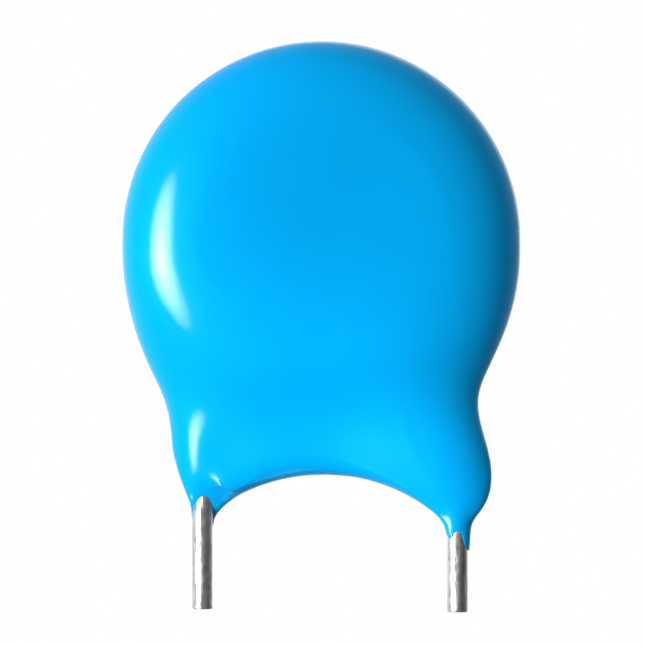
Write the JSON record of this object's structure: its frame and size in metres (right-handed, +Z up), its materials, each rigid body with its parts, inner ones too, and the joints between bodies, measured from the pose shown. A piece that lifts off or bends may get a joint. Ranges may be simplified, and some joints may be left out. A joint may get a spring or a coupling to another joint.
{
  "type": "ceramic disc capacitor",
  "caption": "Ceramic disc capacitor in a glossy blue dipped coat, with parallel wire leads for mounting upright on a circuit board.",
  "frame": {"origin": "midway between the leads, in the seating plane at the lowest tip of the coat", "axes": "+Z up, away from the board and along the leads; +X from the rear lead towards the front lead; -Y is the front face"},
  "size_m": [0.0156, 0.0046, 0.0223],
  "materials": {
    "coat": "gloss",
    "ceramic": "matte",
    "electrode": "matte",
    "lead": "satin",
    "solder": "satin"
  },
  "bodies": {
    "root": {"ceramic_disc": "ceramic", "front_electrode": "electrode", "rear_electrode": "electrode", "front_lead": "lead", "rear_lead": "lead", "front_solder": "solder", "rear_solder": "solder", "coating": "coat"}
  },
  "joints": []
}
